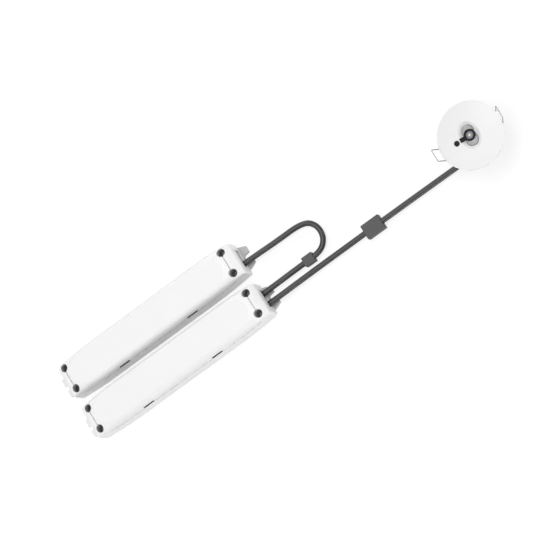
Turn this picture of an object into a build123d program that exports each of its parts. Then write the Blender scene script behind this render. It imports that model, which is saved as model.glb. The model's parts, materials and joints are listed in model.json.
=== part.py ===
from build123d import *
import math
import os

os.makedirs("parts", exist_ok=True)

# Emergency downlight kit, in millimetres: a recessed head, a control gear box and a battery box,
# joined by a link cable and a head cable. +X runs from the boxes to the head, +Z out of the faces.

# Both boxes share one moulding
body_length = 279.0
body_width = 51.4
body_end_width = 45.2
bulge_run = 58.0
corner_radius = 2.6
wall = 2.0
floor_thickness = 2.0
base_height = 22.5
plateau_height = 35.0
plateau_width = 39.0
plateau_low_inset = 16.0
plateau_high_inset = 20.0
plateau_end_run = 24.0
shoulder_fullness = 0.893
shoulder_levels = (0.0, 0.24, 0.48, 0.68, 0.84, 0.944, 1.0)
parting_chamfer = 0.7
fit_gap = 0.2

# Screws that close a box, at the bottom of deep wells
screw_pitch_y = 30.5
screw_low_inset = 11.0
screw_high_inset = 12.6
well_diameter = 10.6
well_wall = 1.4
well_floor = 2.0
boss_top = 13.2
groove_width = 1.4
groove_bottom = 29.4
groove_rib_width = 4.4
boss_diameter = 7.4
cover_screw_diameter = 3.0
cover_screw_head = 7.4
cover_screw_head_height = 2.4
cover_screw_length = 8.5
recess_width = 1.0
screw_clearance = 0.1

# Forked fixing tabs
tab_reach = 11.5
tab_thickness = 3.0
tab_root_width = 32.8
tab_tip_width = 24.6
notch_width = 4.6
notch_mouth_width = 7.0
notch_depth = 8.6

# Snap tongues and their slots
snap_spread = 0.396 * body_length
snap_shift = -2.2
snap_length = 15.6
snap_height = 3.6
snap_above_parting = 0.6
tongue_thickness = 1.4
tongue_catch = 0.9
catch_height = 1.4
lip_depth = 2.5
lip_thickness = 1.2
lip_end_gap = 32.5

# Cable entries
cable_diameter = 7.4
cable_gap = 0.15
entry_pitch = 15.0
entry_width = 24.8
entry_height = 9.0
clamp_width = 7.0
clamp_thickness = 3.0
clamp_length = 24.0
clamp_from_end = 20.0
clamp_post_diameter = 6.4
clamp_screw_diameter = 3.0
sheath_inside = 28.0
core_diameter = 1.8
core_pitch = 2.3

# Control gear
board_thickness = 1.6
board_stand_off = 4.0
board_width = body_end_width - 2 * wall - fit_gap
terminal_face_from_end = 35.5
board_low_inset = 24.5
gear_board_length = body_length - terminal_face_from_end - board_low_inset
post_diameter = 5.2
post_inset = 6.0
board_screw_diameter = 2.4
board_screw_head = 4.6
terminal_depth = 12.0
terminal_length = board_width / 2 - 2.5
terminal_height = 11.0
transformer_length = 28.0
transformer_width = 24.0
transformer_height = 20.0
choke_diameter = 17.0
choke_height = 13.0
capacitor_diameter = 10.0
capacitor_height = 17.0
spreader_length = 62.0
spreader_height = 17.0
spreader_thickness = 2.0

# Battery
cell_diameter = 25.0
cell_count = 4
cell_start_inset = 21.0
cell_end_gap = 5.7
tag_gap = 0.6
tag_diameter = 8.0
cell_cap_diameter = 9.0
battery_board_length = 20.0
cell_room = body_length - cell_start_inset - terminal_face_from_end - battery_board_length - cell_end_gap
cell_spacing = cell_room / cell_count
cell_length = cell_spacing - tag_gap
cradle_floor = 1.2
cradle_lift = 1.0
cradle_rib = 2.2
cradle_rib_height = 9.0
cradle_width = 42.0
strap_width = 8.0
strap_thickness = 0.6

# Head
trim_diameter = 85.0
trim_height = 43.0
trim_edge = 1.8
trim_crown = 3.0
trim_shell = 2.0
flange_width = 8.5
collar_diameter = trim_diameter - 2 * flange_width
collar_wall = 2.0
plate_thickness = 3.0
plate_top = 36.0
dish_width = 0.306 * trim_diameter
dish_length = 0.435 * trim_diameter
lobe_diameter = 0.188 * trim_diameter
lobe_spread = 0.139 * trim_diameter
lens_fit = 0.15
lens_step = 40.3
lens_base_height = 2.1
lens_dome = 2.0
eye_dome = 1.4
retainer_outer = 14.8
retainer_inner = 10.2
retainer_height = 2.0
retainer_seat = 44.6
retainer_tab_width = 5.4
retainer_tab_reach = 13.6
led_size = 5.0
led_height = 1.0
led_dome_diameter = 3.2
pad_thickness = 0.5
trim_boss_circle = collar_diameter - 11.0
trim_boss_diameter = 5.6
head_board_diameter = trim_boss_circle - trim_boss_diameter - 2.4
head_board_screw_circle = head_board_diameter - 8.0
button_diameter = 6.6
button_from_axis = 18.8
button_gap = 0.25
button_proud = 1.5
button_travel = 0.8
button_collar = 1.6
button_seat_gap = 0.3
switch_size = 6.0
switch_height = 2.0
fin_count = 18
fin_thickness = 1.6
fin_diameter = collar_diameter - 2.0
fin_bottom = 11.0
hub_diameter = 28.0
clip_pocket_width = 20.4
trim_screw_diameter = 2.4
trim_screw_head = 4.4
trim_screw_head_height = 1.8
trim_screw_length = 6.4
cap_diameter = fin_diameter - 16.0
cap_wall = 2.0
cap_screw_circle = 20.0
gasket_thickness = 1.0
gasket_width = 6.5
gland_offset = -12.9
gland_height = 5.0
gland_length = 7.0
gland_flange = 9.4
gland_bore_wall = 0.8

# Spring clips
wire_diameter = 1.2
pin_diameter = 3.0
pin_gap = 0.08
pin_from_axis = trim_diameter / 2 - 11.0
pin_height = 31.0
clip_pocket_from_axis = pin_from_axis - 11.0
clip_half_width = 8.28
coil_turns = 3
coil_pitch = 1.15
elbow_reach = trim_diameter / 2 - 2.1
elbow_height = 35.0
tip_reach = trim_diameter / 2 + 4.9
tip_height = 57.0
elbow_radius = 3.0
tip_radius = 2.0
lug_thickness = 2.0
lug_gap = 1.1

# Inline connectors
link_connector_size = (15.2, 12.9, 9.8)
head_connector_size = (26.5, 19.7, 9.5)
connector_rounding = 0.8
connector_wall = 1.8
connector_socket = 4.0
contact_gap = 0.15

# Where the pieces lie, measured from the middle of the battery box
gear_box_offset = 61.25
head_offset_x = 473.3
head_offset_y = 5.5
head_turn = -1.8
link_connector_offset = (211.9, 9.3)
head_connector_offset = (303.2, -5.6)

# The origin is below the middle of the kit without its cables
kit_low_x = -body_length / 2 - tab_reach
turn_cos = math.cos(math.radians(head_turn))
turn_sin = math.sin(math.radians(head_turn))
clip_corner = (tip_reach - tip_radius) * turn_cos + (clip_half_width - tip_radius) * abs(turn_sin)
kit_high_x = head_offset_x + clip_corner + tip_radius + wire_diameter / 2
kit_low_y = head_offset_y - trim_diameter / 2
kit_high_y = gear_box_offset + body_width / 2
box_x = -(kit_low_x + kit_high_x) / 2
battery_y = -(kit_low_y + kit_high_y) / 2
gear_y = battery_y + gear_box_offset
head_x = box_x + head_offset_x
head_y = battery_y + head_offset_y
entry_x = box_x + body_length / 2
screw_low_x = -body_length / 2 + screw_low_inset
screw_high_x = body_length / 2 - screw_high_inset
cable_radius = cable_diameter / 2
low = (Align.CENTER, Align.CENTER, Align.MIN)


def save(name, shape, x=0.0, y=0.0):
    export_step(Pos(x, y, 0) * shape, f"parts/{name}.step")


def save_head(name, shape):
    save(name, Rot(0, 0, head_turn) * shape, head_x, head_y)


def rod(diameter, height, x=0.0, y=0.0, z=0.0):
    return Pos(x, y, z) * Cylinder(diameter / 2, height, align=low)


def block(length, width, height, x=0.0, y=0.0, z=0.0):
    return Pos(x, y, z) * Box(length, width, height, align=low)


def rod_along_x(diameter, length, x, y, z):
    return Pos(x, y, z) * Rot(0, 90, 0) * Cylinder(diameter / 2, length, align=low)


def rod_along_y(diameter, length, x, y, z):
    return Pos(x, y, z) * Rot(-90, 0, 0) * Cylinder(diameter / 2, length, align=low)


def group(shapes):
    return Compound(children=list(shapes))


# The two boxes


def plan(inset):
    """The body seen from above: straight ends and sides that bow out, moved in by inset."""
    half_length = body_length / 2 - inset
    half_end = body_end_width / 2 - inset
    half_width = body_width / 2 - inset
    straight = body_length / 2 - bulge_run
    with BuildSketch() as sketch:
        with BuildLine():
            Line((-straight, half_width), (straight, half_width))
            TangentArc((straight, half_width), (half_length, half_end), tangent=(1, 0))
            Line((half_length, half_end), (half_length, -half_end))
            TangentArc((straight, -half_width), (half_length, -half_end), tangent=(1, 0))
            Line((straight, -half_width), (-straight, -half_width))
            TangentArc((-straight, -half_width), (-half_length, -half_end), tangent=(-1, 0))
            Line((-half_length, -half_end), (-half_length, half_end))
            TangentArc((-straight, half_width), (-half_length, half_end), tangent=(-1, 0))
        make_face()
        corners = sketch.vertices().filter_by(lambda v: abs(v.X) > half_length - 0.01)
        fillet(corners, radius=corner_radius - min(inset, corner_radius - 1.0))
    return sketch.sketch


def prism(inset, low_z, high_z):
    return Pos(0, 0, low_z) * extrude(plan(inset), amount=high_z - low_z)


def body_end_points(inset):
    """Points along one end of the body's outline, from side to side, through both rounded corners."""
    half_length = body_length / 2 - inset
    half_width = body_width / 2 - inset
    run = bulge_run - inset
    drop = (body_width - body_end_width) / 2
    arc = (run**2 + drop**2) / (2 * drop)
    turn = corner_radius - min(inset, corner_radius - 1.0)
    lean = math.asin((run - turn) / (arc - turn))
    centre_y = half_width - arc + (arc - turn) * math.cos(lean)
    points = []
    for i in range(7):
        angle = lean * i / 7
        points.append((half_length - run + arc * math.sin(angle), half_width - arc + arc * math.cos(angle)))
    for i in range(7):
        angle = (math.pi / 2 - lean) * (1 - i / 6)
        points.append((half_length - turn + turn * math.cos(angle), centre_y + turn * math.sin(angle)))
    for share in (0.06, 0.14, 0.26, 0.45, 0.7):
        points.append((half_length, centre_y * (1 - share)))
    mirrored = [(x, -y) for x, y in reversed(points)]
    return points + [(half_length, 0.0)] + mirrored


def plateau_point(point, middle_x, end_x, inset):
    """Where the line from the middle of the body to a point of its outline crosses the plateau's edge."""
    half_width = plateau_width / 2 - inset
    run = plateau_end_run
    centre = end_x - inset - run - middle_x
    along, across = point[0] - middle_x, point[1]
    size = math.hypot(along, across)
    along, across = along / size, across / size
    if abs(across) > 1e-9 and half_width / abs(across) * along <= centre:
        reach = half_width / abs(across)
    else:
        a = (along / run) ** 2 + (across / half_width) ** 2
        b = -2 * along * centre / run**2
        c = (centre / run) ** 2 - 1
        reach = (-b + math.sqrt(b**2 - 4 * a * c)) / (2 * a)
    return middle_x + along * reach, across * reach


def shoulder_share(level):
    """How far out the shoulder lies at a share of its height: 1 at the parting line, 0 at the plateau."""
    cut = math.sqrt(1 - shoulder_fullness**2)
    return (math.sqrt(1 - (shoulder_fullness * level) ** 2) - cut) / (1 - cut)


def end_curve(plateau_inset, inset, level, z):
    """One end of a level line of the cover, between the body's outline and the plateau's edge."""
    middle_x = body_length / 2 - bulge_run
    outline = body_end_points(inset)
    share = shoulder_share(level)
    points = []
    for point in outline:
        x, y = plateau_point(point, middle_x, body_length / 2 - plateau_inset, inset)
        points.append((x + (point[0] - x) * share, y + (point[1] - y) * share, z))
    steps = [0.0]
    for here, there in zip(outline, outline[1:]):
        steps.append(steps[-1] + math.hypot(there[0] - here[0], there[1] - here[1]))
    marks = [step / steps[-1] for step in steps]
    return Edge.make_spline(points, tangents=[(1, 0, 0), (-1, 0, 0)], parameters=marks)


def pillow(inset, top):
    """The cover's rounded form, from the parting line up to the flat plateau."""
    sections = []
    for level in shoulder_levels:
        z = base_height + (top - base_height) * level
        high = end_curve(plateau_high_inset, inset, level, z)
        low_end = Rot(0, 0, 180) * end_curve(plateau_low_inset, inset, level, z)
        sides = [Edge.make_line(low_end @ 1, high @ 0), Edge.make_line(high @ 1, low_end @ 0)]
        sections.append(Wire([high, sides[1], low_end, sides[0]]))
    return Solid.make_loft(sections)


def screw_places():
    for x in (screw_low_x, screw_high_x):
        for y in (-screw_pitch_y / 2, screw_pitch_y / 2):
            yield x, y


def snap_places():
    middle = (screw_low_x + screw_high_x) / 2 + snap_shift
    for x in (middle - snap_spread / 2, middle + snap_spread / 2):
        for side in (-1, 1):
            yield x, side


def fixing_tab():
    """One forked tab at the high end: tapered sides and an open notch for a fixing screw."""
    root_x = body_length / 2 - wall
    tip_x = body_length / 2 + tab_reach
    notch_x = tip_x - notch_depth + notch_width / 2
    with BuildSketch() as sketch:
        with BuildLine():
            Polyline(
                (root_x, -tab_root_width / 2),
                (body_length / 2 + 1.0, -tab_root_width / 2),
                (tip_x, -tab_tip_width / 2),
                (tip_x, tab_tip_width / 2),
                (body_length / 2 + 1.0, tab_root_width / 2),
                (root_x, tab_root_width / 2),
                close=True,
            )
        make_face()
        fillet(sketch.vertices().filter_by(lambda v: v.X > tip_x - 0.01), radius=2.0)
        with Locations((notch_x, 0)):
            Circle(notch_width / 2, mode=Mode.SUBTRACT)
        with BuildLine():
            Polyline(
                (notch_x, -notch_width / 2),
                (tip_x + 1.0, -notch_mouth_width / 2),
                (tip_x + 1.0, notch_mouth_width / 2),
                (notch_x, notch_width / 2),
                close=True,
            )
        make_face(mode=Mode.SUBTRACT)
    tab = extrude(sketch.sketch, amount=tab_thickness)
    return chamfer(tab.faces().sort_by(Axis.Z)[-1].edges().filter_by(lambda e: e.center().X > root_x + 3), 0.4)


def make_base(post_places):
    """Deep tray with screw bosses, board posts, snap tongues, cable saddles and fixing tabs."""
    tray = prism(0, 0, base_height)
    tray = chamfer(tray.faces().sort_by(Axis.Z)[0].edges(), 0.8)
    tray = chamfer(tray.faces().sort_by(Axis.Z)[-1].edges(), parting_chamfer)
    tray -= prism(wall, floor_thickness, base_height)
    tab = fixing_tab()
    tray += tab
    tray += Rot(0, 0, 180) * tab
    for x, y in screw_places():
        tray += rod(boss_diameter, boss_top - floor_thickness, x, y, floor_thickness)
        tray -= rod(cover_screw_diameter + 2 * screw_clearance, boss_top, x, y, floor_thickness + 4)
    for x, y in post_places:
        tray += rod(post_diameter, board_stand_off, x, y, floor_thickness)
        tray -= rod(board_screw_diameter + 2 * screw_clearance, board_stand_off, x, y, floor_thickness + 0.5)
    slot_low = base_height + snap_above_parting
    for x, side in snap_places():
        y = side * (body_width / 2 - wall - tongue_thickness / 2)
        tongue_low = base_height - 8.0
        tongue_top = slot_low + snap_height - 0.2
        width = snap_length - 3.0
        tray += block(width, tongue_thickness, base_height - tongue_low, x, y, tongue_low)
        inner_y = y - side * fit_gap
        tray += block(width, tongue_thickness, tongue_top - tongue_low, x, inner_y, tongue_low)
        catch_y = inner_y + side * (tongue_thickness + tongue_catch) / 2
        tray += block(width, tongue_catch, catch_height, x, catch_y, slot_low + 0.3)
    notch_low = entry_height - cable_radius - cable_gap
    end_x = body_length / 2 - wall / 2
    tray -= block(wall + 1.0, entry_width, base_height, end_x, 0, notch_low)
    clamp_x = body_length / 2 - clamp_from_end - clamp_width / 2
    tray += block(clamp_width, clamp_length, notch_low - floor_thickness, clamp_x, 0, floor_thickness)
    post_top = entry_height + cable_radius
    tray += rod(clamp_post_diameter, post_top - floor_thickness, clamp_x, 0, floor_thickness)
    tray -= rod(clamp_screw_diameter, 8.0, clamp_x, 0, post_top - 8.0)
    return tray


def make_cover():
    """Moulded lid: pillow-shaped top, deep screw wells joined by a groove, skirt lip and entry apron."""
    cover = pillow(0, plateau_height)
    cavity = pillow(wall, plateau_height - wall)
    tube_diameter = well_diameter + 2 * well_wall
    for x, y in screw_places():
        cavity -= rod(tube_diameter, plateau_height, x, y, 0)
    for x in (screw_low_x, screw_high_x):
        cavity -= block(groove_rib_width, screw_pitch_y, wall + plateau_height, x, 0, groove_bottom - wall)
    cover -= cavity
    room = prism(wall + fit_gap, boss_top, base_height)
    for x, y in screw_places():
        cover += rod(tube_diameter, base_height - boss_top, x, y, boss_top) & room
        cover -= rod(well_diameter, plateau_height, x, y, boss_top + well_floor)
        cover -= rod(cover_screw_diameter + 2 * screw_clearance, plateau_height, x, y, 0)
    for x in (screw_low_x, screw_high_x):
        cover -= block(groove_width, screw_pitch_y, plateau_height, x, 0, groove_bottom)
    skirt = prism(wall + fit_gap, base_height - lip_depth, base_height + 1.0)
    skirt += prism(wall - 0.5, base_height + 0.2, base_height + 1.0)
    skirt -= prism(wall + fit_gap + lip_thickness, base_height - lip_depth, base_height + 1.0)
    skirt &= block(body_length - 2 * lip_end_gap, body_width, plateau_height)
    for x, side in snap_places():
        skirt -= block(snap_length, body_width / 2, plateau_height, x, side * body_width / 3)
    cover += skirt
    slot_low = base_height + snap_above_parting
    for x, side in snap_places():
        cover -= block(snap_length, 4 * wall, snap_height, x, side * body_width / 2, slot_low)
    apron_low = entry_height + cable_radius + cable_gap
    apron_x = body_length / 2 - wall / 2 - fit_gap
    cover += block(wall, entry_width - 2 * fit_gap, base_height + 0.2 - apron_low, apron_x, 0, apron_low)
    return cover


def cross_recess(size, depth, x, y, z):
    """Cross for a driver, to be cut down from z or up from it."""
    low_z = z - max(depth, 0)
    return block(size, recess_width, abs(depth), x, y, low_z) + block(recess_width, size, abs(depth), x, y, low_z)


def make_cover_screws():
    screws = []
    for x, y in screw_places():
        seat = boss_top + well_floor
        screw = rod(cover_screw_head, cover_screw_head_height, x, y, seat)
        screw = chamfer(screw.edges().sort_by(Axis.Z)[-1], 0.6)
        screw += rod(cover_screw_diameter, cover_screw_length, x, y, seat - cover_screw_length)
        screws.append(screw - cross_recess(4.4, 1.5, x, y, seat + cover_screw_head_height))
    return group(screws)


def make_board_screws(places):
    screws = []
    top = floor_thickness + board_stand_off + board_thickness
    for x, y in places:
        screw = rod(board_screw_head, 1.6, x, y, top)
        screws.append(screw + rod(board_screw_diameter, top - floor_thickness - 1.0, x, y, floor_thickness + 1.0))
    return group(screws)


def make_board(length, high_x, places):
    low_z = floor_thickness + board_stand_off
    board = block(length, board_width, board_thickness, high_x - length / 2, 0, low_z)
    board = fillet(board.edges().filter_by(Axis.Z), radius=2.0)
    for x, y in places:
        board -= rod(board_screw_diameter + 2 * screw_clearance, board_thickness, x, y, low_z)
    return board


def make_cable_clamp():
    """Bar over both cables, with a half-round seat for each, held by one screw between them."""
    clamp_x = body_length / 2 - clamp_from_end - clamp_width / 2
    low_z = entry_height + cable_gap + 1.0
    top = entry_height + cable_radius + clamp_thickness
    bar = block(clamp_width, clamp_length, top - low_z, clamp_x, 0, low_z)
    bar = fillet(bar.edges().filter_by(Axis.X).group_by(Axis.Z)[-1], radius=1.5)
    for side in (-1, 1):
        groove = cable_diameter + 2 * cable_gap
        bar -= rod_along_x(groove, clamp_width, clamp_x - clamp_width / 2, side * entry_pitch / 2, entry_height)
    post_top = entry_height + cable_radius
    bar -= block(clamp_width, clamp_post_diameter + 2 * fit_gap, post_top, clamp_x, 0, 0)
    return bar - rod(clamp_screw_diameter + 2 * screw_clearance, 20, clamp_x, 0, low_z)


def make_clamp_screw():
    clamp_x = body_length / 2 - clamp_from_end - clamp_width / 2
    top = entry_height + cable_radius + clamp_thickness
    return rod(5.6, 2.0, clamp_x, 0, top) + rod(clamp_screw_diameter, 10.0, clamp_x, 0, top - 10.0)


def make_cores(sides, count=3):
    """Bare cores from each sheath to the terminals, side by side."""
    start = body_length / 2 - terminal_face_from_end
    length = terminal_face_from_end - sheath_inside
    cores = []
    for side in sides:
        for i in range(count):
            y = side * entry_pitch / 2 + (i - (count - 1) / 2) * core_pitch
            cores.append(rod_along_x(core_diameter, length, start, y, entry_height))
    return group(cores)


def make_terminals(side):
    """Screw terminal strip: three ways with driver holes on top and wire mouths in front."""
    face_x = body_length / 2 - terminal_face_from_end
    low_z = floor_thickness + board_stand_off + board_thickness
    x = face_x - terminal_depth / 2
    y = side * (terminal_length / 2 + 0.6)
    strip = block(terminal_depth, terminal_length, terminal_height, x, y, low_z)
    strip = chamfer(strip.edges().filter_by(Axis.Y).group_by(Axis.Z)[-1], 1.5)
    for i in range(3):
        way_y = y + (i - 1) * (terminal_length / 3)
        strip -= rod(3.6, 5.0, x, way_y, low_z + terminal_height - 5.0)
    return strip


# Control gear pieces, on the board


def along_board(share):
    """A place on the long board, as a share of its length from the low end."""
    return board_high_x - gear_board_length * (1 - share)


def make_transformer(x):
    low_z = floor_thickness + board_stand_off + board_thickness
    core = block(transformer_length, transformer_width, transformer_height, x, 0, low_z)
    window = block(transformer_length - 8.0, transformer_width, transformer_height - 8.0, x, 0, low_z + 4.0)
    core -= window
    core += block(8.0, transformer_width - 4.0, transformer_height - 8.0, x, 0, low_z + 4.0)
    winding = block(transformer_length - 8.4, transformer_width + 6.0, transformer_height - 8.4, x, 0, low_z + 4.2)
    winding = fillet(winding.edges().filter_by(Axis.Z), radius=3.0)
    winding -= block(8.4, transformer_width - 3.6, transformer_height, x, 0, low_z)
    return group([core, winding])


def make_choke(x, y):
    low_z = floor_thickness + board_stand_off + board_thickness
    flange = rod(choke_diameter, 2.0, x, y, low_z)
    coil = rod(choke_diameter - 2.0, choke_height - 4.0, x, y, low_z + 2.0)
    return flange + coil + rod(choke_diameter, 2.0, x, y, low_z + choke_height - 2.0)


def make_capacitors(first_x, y, film_x, film_y):
    low_z = floor_thickness + board_stand_off + board_thickness
    made = []
    for i in range(3):
        can = rod(capacitor_diameter, capacitor_height, first_x + i * (capacitor_diameter + 3.0), y, low_z)
        made.append(fillet(can.edges().sort_by(Axis.Z)[-1], radius=1.0))
    film = block(18.0, 8.0, 14.0, film_x, film_y, low_z)
    made.append(fillet(film.edges().filter_by(Axis.Z), radius=1.2))
    return group(made)


def make_spreader(x, y):
    """Aluminium angle that the power devices are screwed to."""
    low_z = floor_thickness + board_stand_off + board_thickness
    upright = block(spreader_length, spreader_thickness, spreader_height, x, y, low_z)
    foot = block(spreader_length, 6.0, spreader_thickness, x, y - 3.0 + spreader_thickness / 2, low_z)
    return upright + foot


def make_power_devices(x, y):
    low_z = floor_thickness + board_stand_off + board_thickness + spreader_thickness
    made = []
    for i in range(3):
        way = x + (i - 1) * 18.0
        face = y - spreader_thickness / 2
        made.append(block(10.0, 4.4, 9.0, way, face - 2.2, low_z + 3.0))
    return group(made)


def make_fuse(x, y):
    low_z = floor_thickness + board_stand_off + board_thickness
    tube = rod_along_x(5.0, 20.0, x - 10.0, y, low_z + 4.0)
    for side in (-1, 1):
        tube += block(4.0, 6.0, 4.5, x + side * 8.0, y, low_z)
    return tube


# Battery pieces


def cell_axis_height():
    return floor_thickness + cradle_floor + cradle_lift + cell_diameter / 2


def cell_centres():
    first = -body_length / 2 + cell_start_inset + cell_length / 2
    return [first + i * cell_spacing for i in range(cell_count)]


def make_cells():
    made = []
    for x in cell_centres():
        can = rod_along_x(cell_diameter, cell_length - 1.0, x - cell_length / 2, 0, cell_axis_height())
        can = fillet(can.edges(), radius=1.0)
        cap_x = x + cell_length / 2 - 1.0
        made.append(can + rod_along_x(cell_cap_diameter, 1.0, cap_x, 0, cell_axis_height()))
    return group(made)


def make_cell_tags():
    """Nickel tags welded between the cells and on both ends of the stick."""
    centres = cell_centres()
    made = []
    for x in centres:
        made.append(rod_along_x(tag_diameter, tag_gap, x + cell_length / 2, 0, cell_axis_height()))
    end_x = centres[0] - cell_length / 2 - strap_thickness
    made.append(rod_along_x(tag_diameter, strap_thickness, end_x, 0, cell_axis_height()))
    return group(made)


def make_cradle():
    """Tray with round saddles that carries the cells, with an end stop."""
    centres = cell_centres()
    low_x = centres[0] - cell_length / 2 - 3.0
    high_x = centres[-1] + cell_length / 2 + 3.0
    length = high_x - low_x
    middle = (low_x + high_x) / 2
    cradle = block(length, cradle_width, cradle_floor, middle, 0, floor_thickness)
    for x in centres:
        for side in (-1, 1):
            rib_x = x + side * cell_length / 3
            cradle += block(cradle_rib, cradle_width, cradle_rib_height, rib_x, 0, floor_thickness)
    cradle -= rod_along_x(cell_diameter + 2 * cable_gap, length, low_x, 0, cell_axis_height())
    for x in (low_x + cradle_rib / 2, high_x - cradle_rib / 2):
        cradle += block(cradle_rib, cradle_width / 2, cradle_rib_height, x, 0, floor_thickness)
    return cradle


def make_straps():
    made = []
    outer = cell_diameter + 2 * strap_thickness
    for x in (cell_centres()[0], cell_centres()[-1]):
        band = rod_along_x(outer, strap_width, x - strap_width / 2, 0, cell_axis_height())
        made.append(band - rod_along_x(cell_diameter, strap_width, x - strap_width / 2, 0, cell_axis_height()))
    return group(made)


# The head, about its own axis with its back on the ground


def crown_height(distance):
    """Height of the trim's face at a distance from its axis."""
    return trim_height + trim_crown * (1 - (2 * distance / trim_diameter) ** 2)


def oval(width, length, z):
    return Pos(0, 0, z) * Ellipse(width / 2, length / 2)


def lobes(diameter):
    half = lobe_spread / 2
    shape = Pos(0, half) * Circle(diameter / 2) + Pos(0, -half) * Circle(diameter / 2)
    return shape + Rectangle(diameter * 0.8, lobe_spread)


def make_trim():
    """Crowned bezel with an oval dish, collar, screw bosses, lens throat and button guide."""
    rim = trim_diameter / 2
    collar = collar_diameter / 2
    flange_back = trim_height - trim_edge
    inner = collar - collar_wall
    top_inner = crown_height(0) - trim_shell
    with BuildSketch(Plane.XZ) as sketch:
        with BuildLine():
            start = (0, crown_height(0))
            ThreePointArc(start, (rim / 2, crown_height(rim / 2)), (rim - 0.5, crown_height(rim - 0.5)))
            Polyline(
                (rim - 0.5, crown_height(rim - 0.5)),
                (rim, trim_height - 0.4),
                (rim, flange_back),
                (collar, flange_back),
                (collar, plate_top),
                (inner, plate_top),
                (inner, crown_height(inner) - trim_shell),
            )
            middle = (inner / 2, crown_height(inner / 2) - trim_shell)
            ThreePointArc((inner, crown_height(inner) - trim_shell), middle, (0, top_inner))
            Line((0, top_inner), start)
        make_face()
    trim = revolve(sketch.sketch, axis=Axis.Z)
    throat = extrude(oval(lobe_diameter + 5.0, lobe_spread + lobe_diameter + 5.0, lens_step), amount=4.0)
    trim += throat
    for x, y in boss_places():
        boss_high = crown_height(trim_boss_circle / 2) - trim_shell / 2
        boss = rod(trim_boss_diameter, boss_high - plate_top, x, y, plate_top)
        trim += boss - rod(trim_screw_diameter + 2 * screw_clearance, 4.0, x, y, plate_top)
    guide = rod(button_diameter + 3.0, 2.0, -button_from_axis, 0, crown_height(button_from_axis) - trim_shell)
    trim += guide & rod(trim_diameter, crown_height(button_from_axis) - 1.0)
    dish = loft(
        [
            oval(lobe_diameter + 1.2, lobe_spread + lobe_diameter + 1.2, crown_height(0) - 2.2),
            oval(dish_width, dish_length, crown_height(14.0) + 0.1),
        ],
        ruled=True,
    )
    trim -= dish
    trim -= Pos(0, 0, crown_height(14.0) + 0.1) * extrude(Ellipse(dish_width / 2, dish_length / 2), amount=2.0)
    trim -= Pos(0, 0, plate_top) * extrude(lobes(lobe_diameter + 2 * lens_fit), amount=12.0)
    slot_length = retainer_tab_reach + lens_fit
    slot_width = retainer_tab_width + 2 * fit_gap
    trim -= block(slot_length, slot_width, 5.0, -slot_length / 2, 0, retainer_seat)
    trim -= rod(button_diameter + 2 * button_gap, 12.0, -button_from_axis, 0, plate_top)
    return trim


def boss_places():
    for angle in (40, 140, 220, 320):
        turn = math.radians(angle)
        yield trim_boss_circle / 2 * math.cos(turn), trim_boss_circle / 2 * math.sin(turn)


def make_lens():
    """Clear two-lobed lens: a base that the trim traps, two domes and a round seat in the middle."""
    base_low = plate_top + pad_thickness + board_thickness
    base = extrude(oval(lobe_diameter + 4.0, lobe_spread + lobe_diameter + 4.0, base_low), amount=lens_base_height)
    column_top = crown_height(0) - lens_dome
    column = Pos(0, 0, base_low) * extrude(lobes(lobe_diameter), amount=crown_height(0) - base_low)
    radius = lobe_diameter / 2
    ball = (radius**2 + lens_dome**2) / (2 * lens_dome)
    domes = None
    for side in (-1, 1):
        dome = Pos(0, side * lobe_spread / 2, crown_height(0) - ball) * Sphere(ball)
        domes = dome if domes is None else domes + dome
    lens = column & (domes + block(40, 40, column_top))
    lens -= rod(retainer_outer + 2 * lens_fit, 6.0, 0, 0, retainer_seat)
    eye_radius = retainer_inner / 2 - lens_fit
    eye_ball = (eye_radius**2 + eye_dome**2) / (2 * eye_dome)
    eye = Pos(0, 0, retainer_seat + retainer_height - eye_ball) * Rot(90, 0, 0) * Sphere(eye_ball)
    lens += eye & rod(2 * eye_radius, 6.0, 0, 0, retainer_seat - 0.5)
    lens = base + lens
    return lens - rod(8.0, 3.6, 0, 0, base_low)


def make_retainer():
    """Black ring over the middle of the lens, with a square tab that lies in the dish."""
    ring = rod(retainer_outer, retainer_height, 0, 0, retainer_seat)
    tab_length = retainer_tab_reach - retainer_inner / 2 - 0.6
    tab_x = -retainer_tab_reach + tab_length / 2
    ring += block(tab_length, retainer_tab_width, retainer_height - 0.3, tab_x, 0, retainer_seat)
    ring -= rod(retainer_inner, 10.0, 0, 0, retainer_seat - 1.0)
    return ring


def make_led():
    top = plate_top + pad_thickness + board_thickness
    package = block(led_size, led_size, led_height, 0, 0, top)
    dome = Pos(0, 0, top + led_height) * Sphere(led_dome_diameter / 2)
    return package + (dome & rod(10, 5, 0, 0, top + led_height / 2))


def head_board_screw_places():
    for angle in (90, 210, 330):
        turn = math.radians(angle)
        radius = head_board_screw_circle / 2
        yield radius * math.cos(turn), radius * math.sin(turn)


def make_head_board():
    board = rod(head_board_diameter, board_thickness, 0, 0, plate_top + pad_thickness)
    for x, y in head_board_screw_places():
        board -= rod(board_screw_diameter + 2 * screw_clearance, 10, x, y, plate_top)
    return board


def make_thermal_pad():
    pad = rod(head_board_diameter - 2.0, pad_thickness, 0, 0, plate_top)
    for x, y in head_board_screw_places():
        pad -= rod(board_screw_diameter + 2 * screw_clearance, 10, x, y, plate_top)
    return pad


def make_head_board_screws():
    screws = []
    top = plate_top + pad_thickness + board_thickness
    for x, y in head_board_screw_places():
        screws.append(rod(board_screw_head, 1.6, x, y, top) + rod(board_screw_diameter, 5.0, x, y, top - 5.0))
    return group(screws)


def make_switch():
    top = plate_top + pad_thickness + board_thickness
    body = block(switch_size, switch_size, switch_height, -button_from_axis, 0, top)
    return body + rod(3.4, 0.5, -button_from_axis, 0, top + switch_height)


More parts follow.
